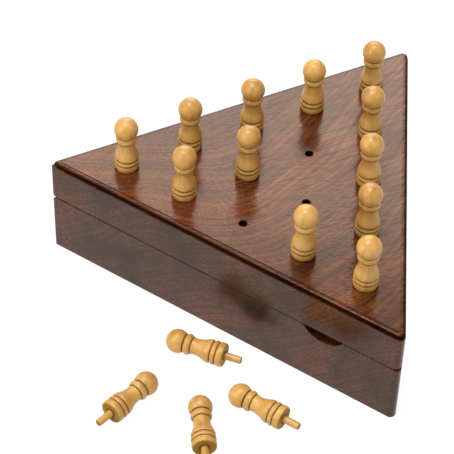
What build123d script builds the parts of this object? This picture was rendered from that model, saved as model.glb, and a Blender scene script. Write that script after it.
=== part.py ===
"""Triangular peg solitaire box: a hinged wooden lid with fifteen holes and sixteen turned pegs.

Millimetres, +Z up. The origin is the centre of the triangular base, on the surface it
stands on. The hinged edge lies at +Y, parallel to X, and the free corner points to -Y.
"""

import os
from math import asin, cos, degrees, radians, sin, sqrt, tan

from build123d import *

# Box
side_length = 160.5
total_height = 46.0
lid_thickness = 18.5
seam_gap = 0.3
corner_round = 2.2
left_corner_round = 0.9
bottom_arris = 0.5
seam_arris = 0.2
wall_thickness = 12.0
cavity_depth = 20.0
cavity_corner_round = 8.0
cavity_floor_round = 1.5

# Moulding along the lid's top edge
moulding_width = 2.2
top_step = 0.3
bead_inset = 0.3
bead_radius = 1.1
bead_left_corner_round = 1.4
bead_height = 0.8
groove_inset = 1.0
groove_height = 1.25
groove_corner_round = 1.0
inner_corner_round = 0.5

# Arrises eased by sanding where lid and base meet at the three corners
ease_reach = 1.8
ease_height = 0.7

# Finger notch in the base's top edge, on the front left face
notch_from_corner = 34.0
notch_radius = 10.3
notch_drop = 4.6
notch_depth = 6.5
notch_fillet = 2.0

# Peg holes
hole_pitch = 27.0
row_count = 5
hole_radius = 1.6
hole_easing = 0.15
selection_tolerance = 0.01

# Peg, measured from the underside of its foot
head_centre = 19.35
head_radius = 4.65
neck_height = 16.7
neck_radius = 3.5
collar_height = 14.8
collar_radius = 4.08
collar_base_height = 13.5
waist_top_radius = 3.3
waist_height = 12.1
waist_radius = 3.2
flare_height = 8.8
flare_radius = 3.8
shoulder_height = 6.2
shoulder_radius = 4.64
upper_groove_height = 5.2
upper_groove_radius = 4.3
ring_radius = 4.78
lower_groove_height = 2.9
lower_groove_radius = 4.35
groove = 0.25
foot_radius = 4.8
foot_underside_radius = 4.2
tenon_root_radius = 1.45
tenon_tip_radius = 1.4
tenon_length = 6.8
tenon_tip_round = 0.45
undercut_radius = 2.0
undercut_depth = 0.3
seat_clearance = 0.05

# Butt hinges: two on the back edge
hinge_offset = 45.0
hinge_inset = 1.5
leaf_length = 22.0
leaf_width = 8.0
leaf_thickness = 1.0
knuckle_radius = 1.5
middle_knuckle = 8.0
knuckle_gap = 0.25
turning_clearance = 0.35
pin_radius = 0.7
pin_clearance = 0.04
pin_head_radius = 1.05
pin_head_length = 0.4
pin_head_round = 0.3
stop_bevel = 52.0
mortise_clearance = 0.05

# Countersunk wood screws
screw_spacing = 14.0
screw_setback = 5.0
screw_radius = 0.9
screw_head_radius = 1.8
screw_length = 8.0
screw_tip = 1.4
screw_clearance = 0.05
slot_width = 0.45
slot_depth = 0.45

# Pegs standing in the lid, as (row from the hinged edge, place from the left)
standing_pegs = [
    (1, 1), (1, 2), (1, 3), (1, 4), (1, 5),
    (2, 1), (2, 2), (2, 4),
    (3, 3),
    (4, 1), (4, 2),
    (5, 1),
]

# Pegs lying beside the box: centre of the head, and the way the tenon points
lying_pegs = [
    (-58.7, -26.0, -47.0),
    (-78.5, -40.0, -156.5),
    (-65.0, -59.0, -110.0),
    (-48.9, -60.4, -59.5),
]

# Worked out from the driving dimensions
corner_reach = side_length / sqrt(3)
edge_reach = corner_reach / 2
base_height = total_height - lid_thickness - seam_gap
lid_underside = base_height + seam_gap
hinge_y = edge_reach - hinge_inset
hinge_z = base_height + seam_gap / 2
face_along = Vector(-cos(radians(60)), sin(radians(60)), 0)
face_outward = Vector(-cos(radians(30)), -sin(radians(30)), 0)
corner_tips = {
    -90: corner_reach - corner_round,
    30: corner_reach - corner_round,
    150: corner_reach - left_corner_round,
}
cutter_margin = 5.0
hinge_centres = {
    "left": (-hinge_offset, hinge_y, hinge_z),
    "right": (hinge_offset, hinge_y, hinge_z),
}
screw_places = [(-screw_spacing / 2, -screw_setback), (screw_spacing / 2, -screw_setback)]


def hole_place(row, place):
    """A hole's place: row from the hinged edge, place from the left, both from 1."""
    first_row_y = hole_pitch * (row_count - 1) / (2 * sqrt(3))
    x = hole_pitch * (place - (row_count - row) / 2 - 1)
    y = first_row_y - hole_pitch * (row - 1) * sqrt(3) / 2
    return x, y


hole_places = {
    (row, place): hole_place(row, place)
    for row in range(1, row_count + 1)
    for place in range(1, row_count - row + 2)
}


def triangle(inset, corner, left_corner):
    """Outline a distance inside the side faces. The left end of the hinged edge has its own corner."""
    RegularPolygon(corner_reach - 2 * inset, 3, rotation=-90)
    fillet(vertices().sort_by(Axis.X)[1:], corner)
    fillet(vertices().sort_by(Axis.X)[0], left_corner)


def ease_corners(height, direction):
    """Cut the arris at each corner of a seam face away from the seam."""
    for angle, tip_reach in corner_tips.items():
        outward = Vector(cos(radians(angle)), sin(radians(angle)), 0)
        across = outward.cross(Vector(0, 0, 1))
        with BuildSketch(Plane(origin=(0, 0, height), x_dir=outward, z_dir=across)) as wedge:
            with BuildLine():
                Polyline(
                    (tip_reach - ease_reach, 0),
                    (tip_reach, direction * ease_height),
                    (tip_reach + cutter_margin, direction * ease_height),
                    (tip_reach + cutter_margin, -direction * ease_height),
                    (tip_reach - ease_reach, -direction * ease_height),
                    close=True,
                )
            make_face()
        extrude(wedge.sketch, amount=2 * cutter_margin, both=True, mode=Mode.SUBTRACT)


def bevel_hinged_edge(height, direction):
    """Bevel the back arris from the hinge line, so that lid and base meet when open."""
    rise = direction * (hinge_inset + cutter_margin) * tan(radians(stop_bevel))
    with BuildSketch(Plane.YZ) as wedge:
        with BuildLine():
            Polyline(
                (hinge_y, height),
                (hinge_y + hinge_inset + cutter_margin, height + rise),
                (hinge_y + hinge_inset + cutter_margin, height),
                close=True,
            )
        make_face()
    extrude(wedge.sketch, amount=side_length / 2, both=True, mode=Mode.SUBTRACT)


def across_hinge(centre):
    """Plane square to the hinge line at the middle of a hinge."""
    return Plane(origin=centre, x_dir=(0, 1, 0), z_dir=(1, 0, 0))


def cut_hinge_mortises(direction):
    """Let two leaves, their screws and the barrels into a seam face."""
    depth = seam_gap / 2 + leaf_thickness + mortise_clearance
    for centre in hinge_centres.values():
        middle = Plane(origin=centre)
        with BuildSketch(middle) as leaf_seat:
            with Locations((0, mortise_clearance)):
                Rectangle(
                    leaf_length + 2 * mortise_clearance,
                    leaf_width + 2 * mortise_clearance,
                    align=(Align.CENTER, Align.MAX),
                )
        extrude(leaf_seat.sketch, amount=direction * depth, mode=Mode.SUBTRACT)
        with BuildSketch(across_hinge(centre)) as barrel_seat:
            Circle(knuckle_radius + turning_clearance)
        half_barrel = leaf_length / 2 + pin_head_length + turning_clearance
        extrude(barrel_seat.sketch, amount=half_barrel, both=True, mode=Mode.SUBTRACT)
        with BuildSketch(middle) as pilots:
            with Locations(*screw_places):
                Circle(screw_radius + screw_clearance)
        pilot_depth = seam_gap / 2 + screw_length + screw_clearance
        extrude(pilots.sketch, amount=direction * pilot_depth, mode=Mode.SUBTRACT)


def peg_outline():
    """Half outline of a peg: its foot stands at the origin, its tenon below."""
    neck_angle = degrees(asin((neck_height - head_centre) / head_radius))
    ring_top = upper_groove_height - groove
    ring_bottom = lower_groove_height + groove
    foot_top = lower_groove_height - groove
    tenon_shoulder = tenon_tip_round - tenon_length
    with BuildLine() as outline:
        head = CenterArc((0, head_centre), head_radius, neck_angle, 90 - neck_angle)
        Polyline(
            head @ 0,
            (neck_radius, neck_height - groove),
            (neck_radius + groove, neck_height - 2 * groove),
        )
        Spline(
            (neck_radius + groove, neck_height - 2 * groove),
            (collar_radius, collar_height),
            (waist_top_radius + groove, collar_base_height),
            tangents=((1, -0.4), (-1, -0.7)),
        )
        Line(
            (waist_top_radius + groove, collar_base_height),
            (waist_top_radius, collar_base_height - groove),
        )
        Spline(
            (waist_top_radius, collar_base_height - groove),
            (waist_radius, waist_height),
            (flare_radius, flare_height),
            (shoulder_radius, shoulder_height),
            (upper_groove_radius, upper_groove_height),
            tangents=((-0.1, -1), (-1, -0.6)),
        )
        Line((upper_groove_radius, upper_groove_height), (upper_groove_radius, ring_top))
        ThreePointArc(
            (upper_groove_radius, ring_top),
            (ring_radius, (ring_top + ring_bottom) / 2),
            (lower_groove_radius, ring_bottom),
        )
        Line((lower_groove_radius, ring_bottom), (lower_groove_radius, foot_top))
        ThreePointArc(
            (lower_groove_radius, foot_top),
            (foot_radius, foot_top / 2),
            (foot_underside_radius, 0),
        )
        Polyline(
            (foot_underside_radius, 0),
            (undercut_radius, 0),
            (tenon_root_radius, undercut_depth),
            (tenon_tip_radius, tenon_shoulder),
        )
        RadiusArc(
            (tenon_tip_radius, tenon_shoulder),
            (tenon_tip_radius - tenon_tip_round, -tenon_length),
            tenon_tip_round,
        )
        Polyline((tenon_tip_radius - tenon_tip_round, -tenon_length), (0, -tenon_length), head @ 1)
    make_face(outline.edges())


def finish(part, name):
    """Label a finished piece and write its STEP file."""
    part.label = name
    export_step(part, f"parts/{name}.step")


def make_peg(name, foot, axis):
    """Turn a peg: foot is the middle of its underside, axis points to its head."""
    across = axis.cross(Vector(0, 0, 1)) if axis.Z < 1 else Vector(1, 0, 0)
    with BuildPart() as peg:
        with BuildSketch(Plane(origin=foot, x_dir=across, z_dir=across.cross(axis))):
            peg_outline()
        revolve(axis=Axis(foot, axis))
    finish(peg.part, name)


def make_leaf(name, centre, direction, knuckles, openings):
    """One hinge leaf, let into the base (direction -1) or the lid (direction 1)."""
    face = Plane(origin=centre).offset(direction * seam_gap / 2)
    barrel = across_hinge(centre)
    with BuildPart() as leaf:
        with BuildSketch(face):
            Rectangle(leaf_length, leaf_width, align=(Align.CENTER, Align.MAX))
            for start, end in openings:
                with Locations(((start + end) / 2, 0)):
                    Rectangle(
                        end - start,
                        knuckle_radius + turning_clearance,
                        align=(Align.CENTER, Align.MAX),
                        mode=Mode.SUBTRACT,
                    )
        extrude(amount=direction * leaf_thickness)
        for start, end in knuckles:
            with BuildSketch(barrel.offset(start)):
                Circle(knuckle_radius)
            extrude(amount=end - start)
        with BuildSketch(barrel):
            Circle(pin_radius + pin_clearance)
        extrude(amount=leaf_length, both=True, mode=Mode.SUBTRACT)
        with BuildSketch(face):
            with Locations(*screw_places):
                Circle(screw_radius + screw_clearance)
        extrude(amount=direction * leaf_thickness, mode=Mode.SUBTRACT)
        with BuildSketch(face):
            with Locations(*screw_places):
                Circle(screw_head_radius + screw_clearance)
        sink_depth = screw_head_radius - screw_radius
        extrude(amount=direction * sink_depth, taper=45, mode=Mode.SUBTRACT)
    finish(leaf.part, name)


def make_screws(name, centre, direction):
    """The two countersunk screws of one leaf, driven along direction."""
    face = Plane(origin=centre).offset(direction * seam_gap / 2)
    with BuildPart() as screws:
        for across, back in screw_places:
            head = face.from_local_coords((across, back, 0))
            with BuildSketch(Plane(origin=head, x_dir=(1, 0, 0), z_dir=(0, -direction, 0))):
                with BuildLine():
                    Polyline(
                        (0, 0),
                        (screw_head_radius, 0),
                        (screw_radius, screw_head_radius - screw_radius),
                        (screw_radius, screw_length - screw_tip),
                        (0, screw_length),
                        close=True,
                    )
                make_face()
            revolve(axis=Axis(head, (0, 0, 1)))
        with BuildSketch(face):
            with Locations(*screw_places):
                Rectangle(slot_width, 2 * screw_head_radius)
        extrude(amount=direction * slot_depth, mode=Mode.SUBTRACT)
    finish(screws.part, name)


def make_pin(name, centre):
    """Hinge pin with a domed head at each end."""
    barrel = across_hinge(centre)
    shank_half = leaf_length / 2 + pin_clearance
    with BuildPart() as pin:
        with BuildSketch(barrel):
            Circle(pin_radius)
        extrude(amount=shank_half, both=True)
        for side in (-1, 1):
            with BuildSketch(barrel.offset(side * shank_half)):
                Circle(pin_head_radius)
            extrude(amount=side * pin_head_length)
        rims = pin.edges().filter_by(GeomType.CIRCLE)
        fillet(rims.group_by(Axis.X)[0] + rims.group_by(Axis.X)[-1], pin_head_round)
    finish(pin.part, name)


os.makedirs("parts", exist_ok=True)

# Base: one block with a routed storage cavity
with BuildPart() as base_box:
    with BuildSketch():
        triangle(0, corner_round, left_corner_round)
    extrude(amount=base_height)
    fillet(base_box.faces().sort_by(Axis.Z)[0].edges(), bottom_arris)
    fillet(base_box.faces().sort_by(Axis.Z)[-1].edges(), seam_arris)
    with BuildSketch(Plane.XY.offset(base_height)):
        triangle(wall_thickness, cavity_corner_round, cavity_corner_round)
    extrude(amount=-cavity_depth, mode=Mode.SUBTRACT)
    cavity_floor = base_box.faces().filter_by(Axis.Z).sort_by(Axis.Z)[1]
    fillet(cavity_floor.edges(), cavity_floor_round)

    notch_centre = (
        Vector(0, -corner_reach, base_height + notch_radius - notch_drop)
        + face_along * notch_from_corner
    )
    with BuildSketch(Plane(origin=notch_centre, x_dir=face_outward, z_dir=face_along)):
        with Locations((cutter_margin, 0)):
            Rectangle(
                cutter_margin + notch_depth,
                notch_radius,
                align=(Align.MAX, Align.MIN),
            )
        fillet(vertices().group_by(Axis.X)[0].sort_by(Axis.Y)[-1], notch_fillet)
    revolve(axis=Axis(notch_centre, face_outward), mode=Mode.SUBTRACT)

    ease_corners(base_height, -1)
    bevel_hinged_edge(base_height, -1)
    cut_hinge_mortises(-1)
finish(base_box.part, "base_box")

# Lid: one thick board with a moulded top edge and fifteen holes drilled through it
bead_top = total_height - top_step
groove_top = bead_top - bead_height
with BuildSketch() as groove_floor:
    triangle(groove_inset, groove_corner_round, groove_corner_round)
with BuildPart() as lid_board:
    with BuildSketch(Plane.XY.offset(lid_underside)):
        triangle(0, corner_round, left_corner_round)
    extrude(amount=groove_top - groove_height - lid_underside)
    fillet(lid_board.faces().sort_by(Axis.Z)[0].edges(), seam_arris)
    with BuildSketch(Plane.XY.offset(groove_top - groove_height)):
        triangle(bead_inset, corner_round - bead_inset, bead_left_corner_round)
    extrude(amount=groove_height + bead_height)
    fillet(lid_board.faces().sort_by(Axis.Z)[-1].edges(), bead_radius)
    with BuildSketch(Plane.XY.offset(groove_top)):
        triangle(-cutter_margin, corner_round, corner_round)
        add(groove_floor.sketch, mode=Mode.SUBTRACT)
    extrude(amount=-groove_height, mode=Mode.SUBTRACT)
    with BuildSketch(Plane.XY.offset(bead_top)):
        triangle(moulding_width, inner_corner_round, inner_corner_round)
    extrude(amount=top_step)

    with BuildSketch(Plane.XY.offset(total_height)):
        with Locations(*hole_places.values()):
            Circle(hole_radius)
    extrude(amount=-lid_thickness, mode=Mode.SUBTRACT)
    rims = lid_board.faces().sort_by(Axis.Z)[-1].edges().filter_by(GeomType.CIRCLE)
    chamfer(rims.filter_by(lambda rim: abs(rim.radius - hole_radius) < selection_tolerance), hole_easing)

    ease_corners(lid_underside, 1)
    bevel_hinged_edge(lid_underside, 1)
    cut_hinge_mortises(1)
finish(lid_board.part, "lid_board")

# Hinges: the lower leaf has the outer knuckles, the upper leaf the middle one
half_middle = middle_knuckle / 2
outer_start = half_middle + knuckle_gap
half_leaf = leaf_length / 2
outer_spans = [(-half_leaf, -outer_start), (outer_start, half_leaf)]
middle_span = [(-half_middle, half_middle)]
middle_opening = [(-outer_start, outer_start)]
outer_openings = [(-half_leaf, -half_middle), (half_middle, half_leaf)]
for side, centre in hinge_centres.items():
    make_leaf(f"hinge_{side}_lower_leaf", centre, -1, outer_spans, middle_opening)
    make_leaf(f"hinge_{side}_upper_leaf", centre, 1, middle_span, outer_openings)
    make_pin(f"hinge_{side}_pin", centre)
    make_screws(f"hinge_{side}_lower_screws", centre, -1)
    make_screws(f"hinge_{side}_upper_screws", centre, 1)

# Pegs standing in the lid
for row, place in standing_pegs:
    x, y = hole_places[row, place]
    foot = Vector(x, y, total_height + seat_clearance)
    make_peg(f"peg_row{row}_{place}", foot, Vector(0, 0, 1))

# Pegs lying on head and foot beside the box
lean = asin((foot_radius - head_radius) / (head_centre - lower_groove_height / 2))
for number, (x, y, tenon_angle) in enumerate(lying_pegs, start=1):
    axis = Vector(
        -cos(lean) * cos(radians(tenon_angle)),
        -cos(lean) * sin(radians(tenon_angle)),
        -sin(lean),
    )
    foot = Vector(x, y, head_radius) - axis * head_centre
    make_peg(f"loose_peg_{number}", foot, axis)
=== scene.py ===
"""Looks for the triangular peg solitaire box: rosewood box, boxwood pegs, brass hinges."""
import math
import random

import bmesh
import bpy
from mathutils import Matrix, Vector


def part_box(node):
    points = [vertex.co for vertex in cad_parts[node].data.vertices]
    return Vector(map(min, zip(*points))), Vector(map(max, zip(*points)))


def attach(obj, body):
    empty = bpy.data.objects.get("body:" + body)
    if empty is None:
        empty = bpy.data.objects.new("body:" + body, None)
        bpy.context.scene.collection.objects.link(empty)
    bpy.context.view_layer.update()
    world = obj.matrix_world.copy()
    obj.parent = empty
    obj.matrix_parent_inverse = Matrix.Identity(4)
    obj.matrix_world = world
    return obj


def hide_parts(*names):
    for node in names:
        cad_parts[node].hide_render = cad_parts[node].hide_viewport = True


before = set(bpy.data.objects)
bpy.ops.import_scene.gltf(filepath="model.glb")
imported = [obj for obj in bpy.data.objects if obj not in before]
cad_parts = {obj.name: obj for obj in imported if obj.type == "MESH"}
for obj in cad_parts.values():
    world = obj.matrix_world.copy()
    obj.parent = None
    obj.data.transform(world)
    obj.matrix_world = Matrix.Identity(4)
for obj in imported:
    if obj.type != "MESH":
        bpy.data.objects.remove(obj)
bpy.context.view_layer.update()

MM = 0.001

LID_LOW, LID_HIGH = (corner.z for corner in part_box("lid_board"))
BASE_LOW, BASE_HIGH = (corner.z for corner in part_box("base_box"))

# ---------------------------------------------------------------- node helpers


class Shader:
    """A node tree under construction: add() makes a node and wires its inputs."""

    def __init__(self, name):
        self.material = bpy.data.materials.new(name)
        self.material.use_nodes = True
        self.tree = self.material.node_tree
        self.tree.nodes.clear()
        self.surface = self.add("ShaderNodeBsdfPrincipled")
        output = self.add("ShaderNodeOutputMaterial")
        self.tree.links.new(self.surface.outputs["BSDF"], output.inputs["Surface"])

    def add(self, kind, inputs=None, **settings):
        """A node of that kind; inputs maps a socket's name or number to a value or an output."""
        made = self.tree.nodes.new(kind)
        for key, value in settings.items():
            setattr(made, key, value)
        self.wire(made, inputs or {})
        return made

    def wire(self, node, inputs):
        for key, value in inputs.items():
            if isinstance(value, bpy.types.NodeSocket):
                self.tree.links.new(value, node.inputs[key])
            else:
                node.inputs[key].default_value = value

    def math(self, operation, *values, clamp=False):
        inputs = dict(enumerate(values))
        return self.add("ShaderNodeMath", inputs, operation=operation, use_clamp=clamp).outputs[0]

    def vector(self, operation, *values):
        inputs = dict(enumerate(values))
        return self.add("ShaderNodeVectorMath", inputs, operation=operation).outputs["Vector"]

    def split(self, vector):
        """The X, Y and Z of a vector."""
        return self.add("ShaderNodeSeparateXYZ", {0: vector}).outputs

    def noise(self, vector, scale, detail=2.0, roughness=0.5, w=None):
        """Noise in 3-D, or in 4-D when w is given. It averages a half."""
        inputs = {"Vector": vector, "Scale": scale, "Detail": detail, "Roughness": roughness}
        dimensions = "3D"
        if w is not None:
            inputs["W"] = w
            dimensions = "4D"
        return self.add("ShaderNodeTexNoise", inputs, noise_dimensions=dimensions).outputs["Fac"]

    def spread(self, value, low, high, to_low=0.0, to_high=1.0):
        """Map a value from low..high to to_low..to_high, and clamp it there."""
        inputs = {"Value": value, "From Min": low, "From Max": high}
        inputs.update({"To Min": to_low, "To Max": to_high})
        return self.add("ShaderNodeMapRange", inputs).outputs["Result"]

    def between(self, value, low, high, edge):
        """One between low and high and nought outside them, changing over an edge each side."""
        rise = self.spread(value, low - edge, low + edge)
        fall = self.spread(value, high - edge, high + edge, 1.0, 0.0)
        return self.math("MULTIPLY", rise, fall)

    def mix(self, share, first, second):
        made = self.add("ShaderNodeMix", data_type="RGBA")
        self.wire(made, {0: share, 6: first, 7: second})
        return made.outputs[2]

    def bump(self, height, strength, distance, normal=None):
        inputs = {"Height": height, "Strength": strength, "Distance": distance}
        if normal is not None:
            inputs["Normal"] = normal
        return self.add("ShaderNodeBump", inputs).outputs["Normal"]


def linear(red, green, blue):
    """A screen colour, 0 to 255, as the linear colour that shaders use."""
    def channel(value):
        value = value / 255
        return value / 12.92 if value <= 0.04045 else ((value + 0.055) / 1.055) ** 2.4
    return (channel(red), channel(green), channel(blue), 1.0)


# -------------------------------------------------------------------- rosewood

WOOD_LIGHT = (0.182, 0.049, 0.0128, 1.0)
WOOD_MIDDLE = (0.122, 0.031, 0.0079, 1.0)
WOOD_DARK = (0.020, 0.0055, 0.0024, 1.0)
WOOD_ORANGE = (0.205, 0.059, 0.0125, 1.0)
PORE_BLACK = (0.010, 0.003, 0.0015, 1.0)
OILED = (0.010, 0.0035, 0.002, 1.0)
# Colour of the painted shade on slanting faces: the finger notch and the lid's bead
SLOPE_SHADE = (0.010, 0.0030, 0.0015, 1.0)
# Colour of the painted shade and old wax in the lid's groove, at its step and along the seam
SHADE_AND_WAX_DARK = (0.012, 0.0030, 0.0014, 1.0)
WARM_GLOSS = (1.0, 0.76, 0.58, 1.0)
WOOD_IOR = 1.5

# Heights between which the wood is darkened with painted shade and old wax: (from, to, how soft the
# edge is)
GROOVE_SHADE_AND_WAX = (LID_HIGH - 2.35 * MM, LID_HIGH - 0.62 * MM, 0.25 * MM)
STEP_SHADE_AND_WAX = (LID_HIGH - 0.26 * MM, LID_HIGH - 0.03 * MM, 0.02 * MM)
SEAM_SHADE_AND_WAX = (BASE_HIGH - 0.2 * MM, LID_LOW + 0.2 * MM, 0.1 * MM)
# Heights of the lid's moulding, which is less glossy than its faces
MOULDING = (LID_HIGH - 2.35 * MM, LID_HIGH - 0.24 * MM, 0.04 * MM)

# Growth shells: a V about the line x = SHELL_AXIS, rounded over SHELL_BEND
SHELL_AXIS = -20 * MM
SHELL_BEND = 14 * MM
SHELL_SLOPE = 0.6
# How the shells wander: (noise scale, reach)
SHELL_WANDERS = ((13.0, 30 * MM), (70.0, 1.2 * MM))
RING_WIDTH = 3.0 * MM


def shell_depth(s, place):
    """How deep among the growth shells a place is: they rise towards the back and the top."""
    x, y, z = s.split(place)
    across = s.math("SUBTRACT", x, SHELL_AXIS)
    across = s.math("SQRT", s.math("MULTIPLY_ADD", across, across, SHELL_BEND**2))
    depth = s.math("MULTIPLY_ADD", across, -SHELL_SLOPE, s.math("ADD", y, z))
    for scale, reach in SHELL_WANDERS:
        wander = s.math("SUBTRACT", s.noise(place, scale), 0.5)
        depth = s.math("MULTIPLY_ADD", wander, reach, depth)
    return depth


def rosewood_figure(s, place):
    """The bare wood's colour, its fine lines and its open pores."""
    depth = shell_depth(s, place)

    def grain(stretch, scale, detail=2.0, roughness=0.5):
        """Noise with marks that lie along the shells, stretch times longer than wide."""
        along = s.vector("MULTIPLY", place, (1 / stretch,) * 3)
        step = s.add("ShaderNodeCombineXYZ", {0: depth}).outputs[0]
        return s.noise(s.vector("ADD", along, step), scale, detail, roughness)

    broad = grain(7.0, 60.0)
    bands = grain(40.0, 240.0)
    lines = grain(90.0, 900.0)
    open_pores = s.spread(grain(1.6, 1700.0, roughness=0.7), 0.48, 0.58)

    # Rings: a dark line each RING_WIDTH or so, fading in and out along the board
    drift = s.math("MULTIPLY", grain(9.0, 90.0, detail=1.0), 9.0)
    phase = s.math("MULTIPLY_ADD", depth, math.tau / RING_WIDTH, drift)
    rings = s.spread(s.math("SINE", phase), -0.1, 0.95)
    rings = s.math("MULTIPLY", rings, s.spread(s.noise(place, 45.0), 0.35, 0.6, 0.15, 0.55))

    colour = s.mix(s.spread(broad, 0.38, 0.62), WOOD_MIDDLE, WOOD_LIGHT)
    colour = s.mix(s.spread(bands, 0.44, 0.7, 0.0, 0.5), colour, WOOD_DARK)
    colour = s.mix(s.spread(lines, 0.4, 0.66, 0.0, 0.55), colour, WOOD_DARK)
    colour = s.mix(rings, colour, WOOD_DARK)
    warm = s.math("MULTIPLY", s.spread(s.noise(place, 42.0, 3.0), 0.5, 0.75), 0.3)
    colour = s.mix(warm, colour, WOOD_ORANGE)
    colour = s.mix(s.math("MULTIPLY", open_pores, 0.65), colour, PORE_BLACK)
    return colour, lines, open_pores


def shade_and_wax_share(s, place, flatness):
    """Where painted shade, old wax and dust lie: in the groove, at the step's foot and along the seam.
    """
    height = s.split(place)["Z"]
    upright = s.spread(flatness, 0.5, 0.8, 1.0, 0.0)
    seam = s.math("MULTIPLY", s.between(height, *SEAM_SHADE_AND_WAX), upright)
    groove = s.between(height, *GROOVE_SHADE_AND_WAX)
    step = s.between(height, *STEP_SHADE_AND_WAX)
    shade_and_wax = s.math("MAXIMUM", s.math("MAXIMUM", groove, step), seam)
    crumbs = s.spread(s.noise(place, 600.0, 3.0), 0.3, 0.7, 0.75, 1.0)
    return s.math("MULTIPLY", shade_and_wax, crumbs)


def rosewood(name, shade):
    """Waxed rosewood: bent grain with dark lines and pores, dark sides, painted shade and old wax in
    the grooves.

    shade scales how dark the oil makes the edge grain of the sides.
    """
    s = Shader(name)
    coordinates = s.add("ShaderNodeTexCoord")
    place = coordinates.outputs["Object"]
    colour, lines, open_pores = rosewood_figure(s, place)

    # Edge grain drinks more oil than the face does, in patches
    facing_up = s.split(coordinates.outputs["Normal"])["Z"]
    flatness = s.math("ABSOLUTE", facing_up)
    edge_grain = s.spread(flatness, 0.85, 0.97, 1.0, 0.0)
    patches = s.spread(s.noise(place, 30.0, 4.0, 0.65), 0.38, 0.62, 0.12, 0.92)
    oiled = s.math("MULTIPLY", s.math("MULTIPLY", edge_grain, patches), shade)
    colour = s.mix(oiled, colour, OILED)

    # Painted shade on what slants: the finger notch and the lid's bead
    slope_shade = s.math("MULTIPLY", s.spread(facing_up, 0.05, 0.3, 0.0, 0.35), edge_grain)
    colour = s.mix(slope_shade, colour, SLOPE_SHADE)

    # Painted shade and old wax darken the groove, the step's foot and the seam
    shade_and_wax = shade_and_wax_share(s, place, flatness)
    colour = s.mix(shade_and_wax, colour, SHADE_AND_WAX_DARK)

    roughness = s.spread(s.noise(place, 55.0, 3.0), 0.3, 0.7, 0.16, 0.22)
    roughness = s.math("MULTIPLY_ADD", open_pores, 0.05, roughness)
    roughness = s.math("MULTIPLY_ADD", shade_and_wax, 0.35, roughness)

    relief = s.math("SUBTRACT", s.math("MULTIPLY", lines, 0.5), open_pores)
    normal = s.bump(relief, 0.06, 0.03 * MM)
    normal = s.bump(s.noise(place, 150.0), 0.06, 0.08 * MM, normal)

    gloss = s.math("MULTIPLY_ADD", shade_and_wax, -0.4, 0.5)
    gloss = s.math("MULTIPLY_ADD", open_pores, -0.1, gloss)
    moulding = s.between(s.split(place)["Z"], *MOULDING)
    gloss = s.math("MULTIPLY_ADD", moulding, -0.22, gloss, clamp=True)

    s.wire(s.surface, {"Base Color": colour, "Roughness": roughness, "Normal": normal,
                       "IOR": WOOD_IOR, "Specular IOR Level": gloss, "Specular Tint": WARM_GLOSS})
    return s.material


# --------------------------------------------------------------------- boxwood

BOX_PALE = (0.68, 0.385, 0.105, 1.0)
BOX_MIDDLE = (0.53, 0.272, 0.053, 1.0)
BOX_DARK = (0.24, 0.096, 0.013, 1.0)
BOX_END_GRAIN = (0.20, 0.095, 0.009, 1.0)
# Colour of the painted shade in the pegs' grooves
BOX_GROOVE_SHADE = (0.085, 0.028, 0.0018, 1.0)
# How far apart the pegs' patterns lie in the noise's fourth dimension
PEG_SPREAD = 37.0


def boxwood():
    """Turned boxwood: pale, close grained along the peg, with painted shade in its grooves and darker
    underneath.
    """
    s = Shader("boxwood")
    coordinates = s.add("ShaderNodeTexCoord")
    place = coordinates.outputs["Object"]
    tone = s.add("ShaderNodeAttribute", attribute_name="tone").outputs["Fac"]
    groove = s.add("ShaderNodeAttribute", attribute_name="groove").outputs["Fac"]
    seed = s.math("MULTIPLY", tone, PEG_SPREAD)

    def grain(scales, detail, roughness):
        """Noise with its own scale along each axis of the peg."""
        return s.noise(s.vector("MULTIPLY", place, scales), 1.0, detail, roughness, seed)

    fibres = grain((1400.0, 1400.0, 70.0), 2.0, 0.6)
    rings = grain((330.0, 120.0, 22.0), 3.0, 0.55)
    turning = grain((60.0, 60.0, 2600.0), 2.0, 0.5)
    clouds = s.noise(place, 130.0, w=seed)

    colour = s.mix(s.spread(clouds, 0.3, 0.7), BOX_MIDDLE, BOX_PALE)
    colour = s.mix(s.spread(rings, 0.52, 0.72, 0.0, 0.55), colour, BOX_DARK)
    colour = s.mix(s.spread(fibres, 0.5, 0.8, 0.0, 0.35), colour, BOX_DARK)
    colour = s.mix(s.spread(tone, 0.0, 1.0, 0.0, 0.3), colour, BOX_DARK)
    facing_up = s.split(coordinates.outputs["Normal"])["Z"]
    end_grain = s.spread(facing_up, -0.95, -0.6, 0.6, 0.0)
    colour = s.mix(end_grain, colour, BOX_END_GRAIN)
    # Painted shade in the turned grooves, where the groove attribute marks them
    colour = s.mix(s.math("MULTIPLY", groove, 0.75), colour, BOX_GROOVE_SHADE)

    roughness = s.spread(clouds, 0.3, 0.7, 0.34, 0.42)
    relief = s.math("ADD", s.math("MULTIPLY", fibres, 0.5), s.math("MULTIPLY", turning, 0.5))
    normal = s.bump(relief, 0.2, 0.06 * MM)
    dry = s.math("MAXIMUM", s.math("MULTIPLY", end_grain, 0.8), s.math("MULTIPLY", groove, 0.4))
    gloss = s.math("SUBTRACT", 0.5, dry, clamp=True)
    s.wire(s.surface, {"Base Color": colour, "Roughness": roughness, "Normal": normal,
                       "IOR": WOOD_IOR, "Specular IOR Level": gloss})
    return s.material


# ----------------------------------------------------------------------- brass

HINGE_BRASS = linear(214, 176, 104)
SCREW_BRASS = linear(176, 134, 74)
TARNISHED_BRASS = linear(128, 92, 46)


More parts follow.
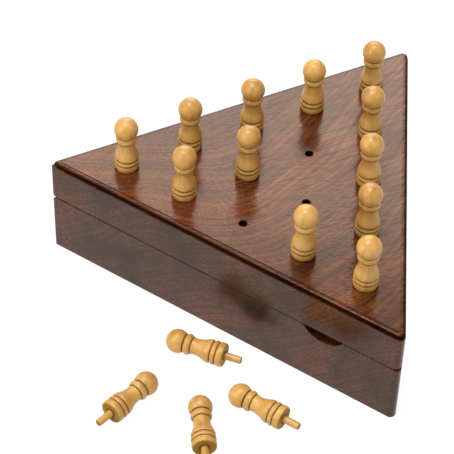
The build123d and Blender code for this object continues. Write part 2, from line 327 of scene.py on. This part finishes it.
def brass(name, tarnish, bright):
    """Rolled brass with fine brush lines along X and patches of tarnish over the bright metal."""
    s = Shader(name)
    place = s.add("ShaderNodeTexCoord").outputs["Object"]
    brushed = s.noise(s.vector("MULTIPLY", place, (120.0, 6000.0, 6000.0)), 1.0, 2.0, 0.6)
    patches = s.noise(place, 420.0, 4.0, 0.6)
    colour = s.mix(s.spread(patches, 0.45, 0.75, 0.0, tarnish), bright, TARNISHED_BRASS)
    roughness = s.spread(brushed, 0.3, 0.7, 0.22, 0.38)
    normal = s.bump(brushed, 0.25, 0.02 * MM)
    s.wire(s.surface, {"Base Color": colour, "Roughness": roughness, "Normal": normal,
                       "Metallic": 1.0})
    return s.material


def dress(node, material):
    """Give a CAD node's every slot that material."""
    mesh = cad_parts[node].data
    if not mesh.materials:
        mesh.materials.append(material)
    for number in range(len(mesh.materials)):
        mesh.materials[number] = material


# ------------------------------------------------------------------------ pegs

# A peg's sizes in millimetres, heights from the underside of its foot
PEG_SIDES = 72
HEAD_CENTRE = 19.35
HEAD_RADIUS = 4.65
NECK_HEIGHT = 16.7
TENON_LENGTH = 6.8
TENON_ROUND = 0.6
FOOT_ROUND = 0.6
GROOVE_HALF_WIDTH = 0.2
GROOVE_DEPTH = 0.4
CHATTER = 0.012
CHATTER_RATE = 9.0
# The thinnest part that the tool's chatter marks, and how far out of round a peg is
CHATTER_FROM = 0.5
OVAL = 0.004


def arc(centre, radius, start, end, steps):
    """Points on an arc in the (radius, height) plane, angles in degrees from the radius axis."""
    points = []
    for step in range(steps + 1):
        angle = math.radians(start + (end - start) * step / steps)
        points.append((centre[0] + radius * math.cos(angle), centre[1] + radius * math.sin(angle)))
    return points


def bead(low, high, bulge, steps):
    """A convex bead between two points of the outline, bulge out from their chord."""
    (r0, z0), (r1, z1) = low, high
    points = []
    for step in range(steps + 1):
        share = step / steps
        out = bulge * math.sin(math.pi * share) ** 0.8
        points.append((r0 + (r1 - r0) * share + out, z0 + (z1 - z0) * share))
    return points


def smooth(knots, steps):
    """A Catmull-Rom curve through the knots."""
    ends = [knots[0], *knots, knots[-1]]
    points = []
    for p0, p1, p2, p3 in zip(ends, ends[1:], ends[2:], ends[3:]):
        for step in range(steps):
            t = step / steps
            points.append(tuple(
                0.5 * (2 * b + (c - a) * t + (2 * a - 5 * b + 4 * c - d) * t**2
                       + (3 * b - a - 3 * c + d) * t**3)
                for a, b, c, d in zip(p0, p1, p2, p3)))
    return points + [knots[-1]]


def cut(below, above, height):
    """A narrow groove between the radii of the turning below and above it."""
    bottom = min(below, above) - GROOVE_DEPTH
    return [(below, height - GROOVE_HALF_WIDTH), (bottom, height), (above, height + GROOVE_HALF_WIDTH)]


def peg_outline():
    """(radius, height, groove) in millimetres, from the tenon's tip to the top of the head."""
    neck_angle = math.degrees(math.asin((NECK_HEIGHT - HEAD_CENTRE) / HEAD_RADIUS))
    tip_centre = (0.8, TENON_ROUND - TENON_LENGTH)
    tenon = [(0.0, -TENON_LENGTH)] + arc(tip_centre, TENON_ROUND, -90, 0, 6)
    tenon += [(1.42, -4.4), (1.44, -2.2), (1.45, -0.4)]
    undercut = [(1.47, 0.2), (1.6, 0.32), (1.85, 0.25)]
    foot = [(2.2, 0.0), (3.4, 0.0)] + arc((4.05, FOOT_ROUND), FOOT_ROUND, -90, -15, 6)
    foot += bead((4.65, 0.7), (4.55, 2.6), 0.14, 10)
    ring = bead((4.5, 3.2), (4.45, 4.8), 0.3, 10)
    body = smooth([(4.4, 5.35), (4.58, 5.65), (4.64, 6.2), (4.26, 7.6), (3.64, 9.2),
                   (3.3, 10.8), (3.2, 12.0), (3.32, 13.1)], 7)
    collar = smooth([(3.45, 13.65), (3.87, 14.1), (4.08, 14.75), (3.98, 15.5), (3.6, 16.15)], 5)
    head = arc((0.0, HEAD_CENTRE), HEAD_RADIUS, neck_angle, 90, 30)
    head[-1] = (0.0, HEAD_CENTRE + HEAD_RADIUS)
    parts = [(tenon, 0), (undercut, 1), (foot, 0), (cut(4.4, 4.4, 2.9), 1), (ring, 0),
             (cut(4.4, 4.3, 5.08), 1), (body, 0), (cut(3.3, 3.35, 13.38), 1), (collar, 0),
             (cut(3.5, 3.5, 16.4), 1), (head, 0)]
    return [(r, z, groove) for points, groove in parts for r, z in points]


def turn_peg(name, tone):
    """A peg turned on its own axis: foot at the origin, head up, with tool marks."""
    outline = peg_outline()
    phase = random.Random(name).uniform(0, math.tau)
    vertices = []
    grooves = []
    for radius, height, groove in outline:
        chatter = CHATTER * math.sin(height * CHATTER_RATE + phase)
        for side in range(PEG_SIDES):
            angle = math.tau * side / PEG_SIDES
            oval = 1 + OVAL * math.cos(2 * angle + phase)
            reach = (radius + (chatter if radius > CHATTER_FROM else 0.0)) * oval * MM
            vertices.append((reach * math.cos(angle), reach * math.sin(angle), height * MM))
            grooves.append(float(groove))
    faces = []
    for level in range(len(outline) - 1):
        for side in range(PEG_SIDES):
            here = level * PEG_SIDES + side
            beside = level * PEG_SIDES + (side + 1) % PEG_SIDES
            faces.append((here, beside, beside + PEG_SIDES, here + PEG_SIDES))
    mesh = bpy.data.meshes.new(name)
    mesh.from_pydata(vertices, [], faces)
    # groove marks the vertices that get painted shade
    mesh.attributes.new("groove", "FLOAT", "POINT").data.foreach_set("value", grooves)
    mesh.attributes.new("tone", "FLOAT", "POINT").data.foreach_set("value", [tone] * len(vertices))
    weld_poles(mesh)
    mesh.shade_smooth()
    peg = bpy.data.objects.new(name, mesh)
    bpy.context.scene.collection.objects.link(peg)
    return peg


def weld_poles(mesh):
    """Merge the rings of zero radius at both ends to single points."""
    body = bmesh.new()
    body.from_mesh(mesh)
    bmesh.ops.remove_doubles(body, verts=body.verts, dist=0.001 * MM)
    bmesh.ops.recalc_face_normals(body, faces=body.faces)
    body.to_mesh(mesh)
    body.free()


def place_pegs(material):
    """A turned peg in the place of each CAD peg, each with a tone and a turn of its own."""
    for node in sorted(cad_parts):
        if not (node.startswith("peg_") or node.startswith("loose_peg_")):
            continue
        tone = random.Random(node + "tone").random()
        peg = turn_peg("turned_" + node, tone)
        peg.data.materials.append(material)
        spin = Matrix.Rotation(math.tau * tone, 4, "Z")
        stands = node.startswith("peg_")
        peg.matrix_world = (standing_place(node) if stands else lying_place(node)) @ spin
        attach(peg, node)
        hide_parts(node)


def standing_place(node):
    """Where a standing peg is, from its box and the height of its head."""
    low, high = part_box(node)
    centre = (low + high) / 2
    foot_height = high.z - (HEAD_CENTRE + HEAD_RADIUS) * MM
    return Matrix.Translation((centre.x, centre.y, foot_height))


def lying_place(node):
    """Where a lying peg is: its foot and its axis, found from how the CAD peg's points spread."""
    rounds = 40
    end_reach = 2 * MM
    points = [v.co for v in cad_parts[node].data.vertices]
    middle = sum(points, Vector()) / len(points)
    spread = Matrix(((0.0,) * 3,) * 3)
    for point in points:
        offset = point - middle
        for i in range(3):
            for j in range(3):
                spread[i][j] += offset[i] * offset[j]
    axis = Vector((1.0, 1.0, 0.0))
    for _ in range(rounds):
        axis = (spread @ axis).normalized()
    along = [(point - middle).dot(axis) for point in points]
    top, bottom = max(along), min(along)

    def end_radius(end):
        """The largest radius near that end of the peg."""
        near = [(p, a) for p, a in zip(points, along) if abs(a - end) < end_reach]
        return max(((p - middle) - axis * a).length for p, a in near)

    if end_radius(bottom) > end_radius(top):
        axis, bottom = -axis, -top
    foot = middle + axis * (bottom + TENON_LENGTH * MM)
    turn = axis.to_track_quat("Z", "Y").to_matrix().to_4x4()
    return Matrix.Translation(foot) @ turn


# ----------------------------------------------------------------------- stage

FLOOR_HALF = 6.0
FLOOR_DROP = 0.02 * MM
FLOOR_GREY = (0.12, 0.12, 0.12, 1.0)
FLOOR_GLOW = 0.93
WHITE = (1.0, 1.0, 1.0, 1.0)

# World strength rises from low to high between these upward shares of the direction
WORLD_RAMP = (("From Min", 0.2), ("From Max", 0.8), ("To Min", 0.55), ("To Max", 1.15))

# Softboxes: degrees from +Y towards +X, degrees above level, distance, size, radiance
SOFTBOXES = {
    "window": (27.0, 30.0, 1.2, 0.8, 4.9),
    "overhead": (-60.0, 78.0, 1.3, 0.55, 15.0),
    "fill": (160.0, 42.0, 1.5, 1.2, 2.4),
    "left": (-92.0, 28.0, 0.45, 0.3, 4.2),
}

# The camera looks down at an aim on the board: azimuth in degrees from -Y towards +X
CAMERA_AZIMUTH = -27.36
CAMERA_ELEVATION = 45.62
CAMERA_ROLL = 1.85
CAMERA_DISTANCE = 0.738
CAMERA_AIM = (-33.3 * MM, -14.8 * MM, 0.0)
CAMERA_LENS = 155.5
CAMERA_SENSOR = 36.0
CAMERA_CLIP = (0.01, 50.0)


def make_floor(top):
    """A wide white floor, bright enough to swallow its own shadows."""
    half = FLOOR_HALF
    mesh = bpy.data.meshes.new("floor")
    corners = [(-half, -half, top), (half, -half, top), (half, half, top), (-half, half, top)]
    mesh.from_pydata(corners, [], [(0, 1, 2, 3)])
    floor = bpy.data.objects.new("floor", mesh)
    bpy.context.scene.collection.objects.link(floor)
    s = Shader("paper_floor")
    s.wire(s.surface, {"Base Color": FLOOR_GREY, "Roughness": 1.0, "Specular IOR Level": 0.0,
                       "Emission Color": WHITE, "Emission Strength": FLOOR_GLOW})
    mesh.materials.append(s.material)


def make_world():
    """A dim studio: dark grey walls that grow a little lighter towards the ceiling."""
    world = bpy.data.worlds.new("studio")
    world.use_nodes = True
    tree = world.node_tree
    direction = tree.nodes.new("ShaderNodeTexCoord").outputs["Generated"]
    split = tree.nodes.new("ShaderNodeSeparateXYZ")
    tree.links.new(direction, split.inputs[0])
    ramp = tree.nodes.new("ShaderNodeMapRange")
    for socket, value in WORLD_RAMP:
        ramp.inputs[socket].default_value = value
    tree.links.new(split.outputs["Z"], ramp.inputs["Value"])
    tree.links.new(ramp.outputs["Result"], tree.nodes["Background"].inputs["Strength"])
    bpy.context.scene.world = world


def add_softbox(name, aim, azimuth, elevation, distance, size, radiance):
    """A square softbox that faces aim from that direction and distance."""
    azimuth, elevation = math.radians(azimuth), math.radians(elevation)
    level = math.cos(elevation)
    side = Vector((math.sin(azimuth) * level, math.cos(azimuth) * level, math.sin(elevation)))
    light = bpy.data.lights.new(name, "AREA")
    light.shape = "SQUARE"
    light.size = size
    light.energy = radiance * math.pi * size * size
    lamp = bpy.data.objects.new(name, light)
    bpy.context.scene.collection.objects.link(lamp)
    turn = side.to_track_quat("Z", "Y").to_matrix().to_4x4()
    lamp.matrix_world = Matrix.Translation(aim + side * distance) @ turn


def make_camera(board_top):
    """The camera of a product photographer: long lens, above the front left corner."""
    azimuth = math.radians(CAMERA_AZIMUTH)
    elevation = math.radians(CAMERA_ELEVATION)
    roll = math.radians(CAMERA_ROLL)
    aim = board_top + Vector(CAMERA_AIM)
    reach = math.cos(elevation)
    back = Vector((math.sin(azimuth) * reach, -math.cos(azimuth) * reach, math.sin(elevation)))
    level = Vector((math.cos(azimuth), math.sin(azimuth), 0.0))
    upright = back.cross(level)
    right = math.cos(roll) * level + math.sin(roll) * upright
    up = back.cross(right)
    data = bpy.data.cameras.new("camera")
    data.sensor_width = CAMERA_SENSOR
    data.lens = CAMERA_LENS
    data.clip_start, data.clip_end = CAMERA_CLIP
    camera = bpy.data.objects.new("camera", data)
    bpy.context.scene.collection.objects.link(camera)
    turn = Matrix((right, up, back)).transposed().to_4x4()
    camera.matrix_world = Matrix.Translation(aim + back * CAMERA_DISTANCE) @ turn
    bpy.context.scene.camera = camera


# ------------------------------------------------------------------------ make

board_top = Vector((0.0, 0.0, LID_HIGH))
make_camera(board_top)
make_world()
make_floor(BASE_LOW - FLOOR_DROP)
for name, setting in SOFTBOXES.items():
    add_softbox(name, board_top, *setting)
bpy.context.scene.view_settings.view_transform = "Standard"

dress("lid_board", rosewood("lid_rosewood", 1.0))
dress("base_box", rosewood("base_rosewood", 1.1))
hinge_brass = brass("hinge_brass", 0.5, HINGE_BRASS)
screw_brass = brass("screw_brass", 1.0, SCREW_BRASS)
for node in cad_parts:
    if node.startswith("hinge_"):
        dress(node, screw_brass if node.endswith("_screws") else hinge_brass)
place_pegs(boxwood())
